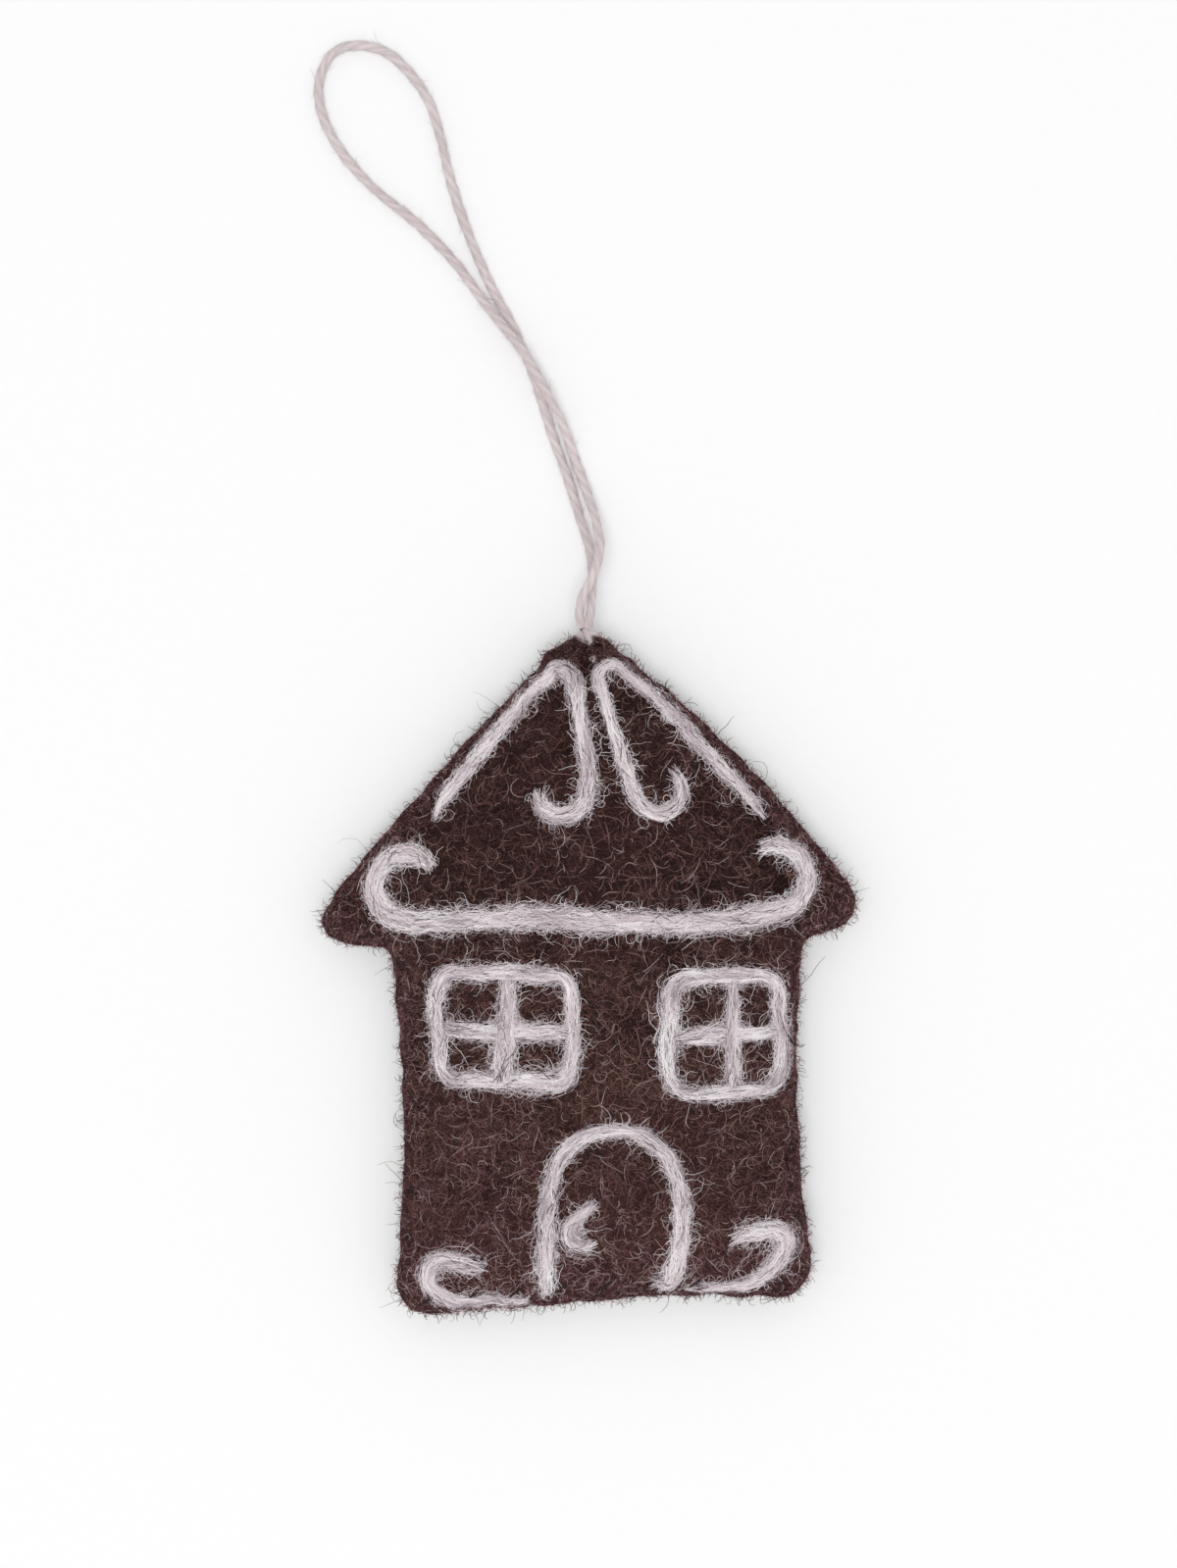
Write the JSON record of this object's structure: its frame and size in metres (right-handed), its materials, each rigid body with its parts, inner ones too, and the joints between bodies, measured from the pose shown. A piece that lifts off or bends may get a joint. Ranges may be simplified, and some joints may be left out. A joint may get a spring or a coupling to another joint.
{
  "type": "felt ornament",
  "caption": "Small stuffed felt ornament shaped like a gabled house, with needle-felted wool icing, an overcast seam and a hanging loop of twisted string, lying on its back.",
  "frame": {"origin": "middle of the house's underside as it lies on its back, measured without the string loop, its knot and its stitch", "axes": "+X to the right seen from the front, +Y up the house towards the peak, +Z out of the iced front"},
  "size_m": [0.0731, 0.1701, 0.0147],
  "materials": {
    "felt_front": "fuzzy dark brown wool felt",
    "felt_back": "fuzzy maroon brown wool felt",
    "stuffing": "loose fibre filling, hidden",
    "thread": "dark brown sewing thread",
    "wool_icing": "off-white needle-felted wool roving",
    "string": "off-white twisted cotton string"
  },
  "bodies": {
    "house": {"front_panel": "felt_front", "back_panel": "felt_back", "stuffing": "stuffing", "seam_thread": "thread", "roof_scroll_left": "wool_icing", "roof_scroll_right": "wool_icing", "eave_band": "wool_icing", "window_left_frame": "wool_icing", "window_left_bar_across": "wool_icing", "window_left_bar_upright": "wool_icing", "window_right_frame": "wool_icing", "window_right_bar_across": "wool_icing", "window_right_bar_upright": "wool_icing", "door_arch": "wool_icing", "door_handle": "wool_icing", "base_scroll_left": "wool_icing", "base_scroll_right": "wool_icing", "loop_knot": "string", "loop_stitch": "string"},
    "loop": {"hanging_loop": "string"}
  },
  "joints": [
    {"name": "loop_swing", "type": "hinge", "parent": "house", "child": "loop", "pos_m": [-0.00083, 0.04842, 0.0064], "axis": [1, 0, 0], "range_deg": [0, 130]}
  ]
}
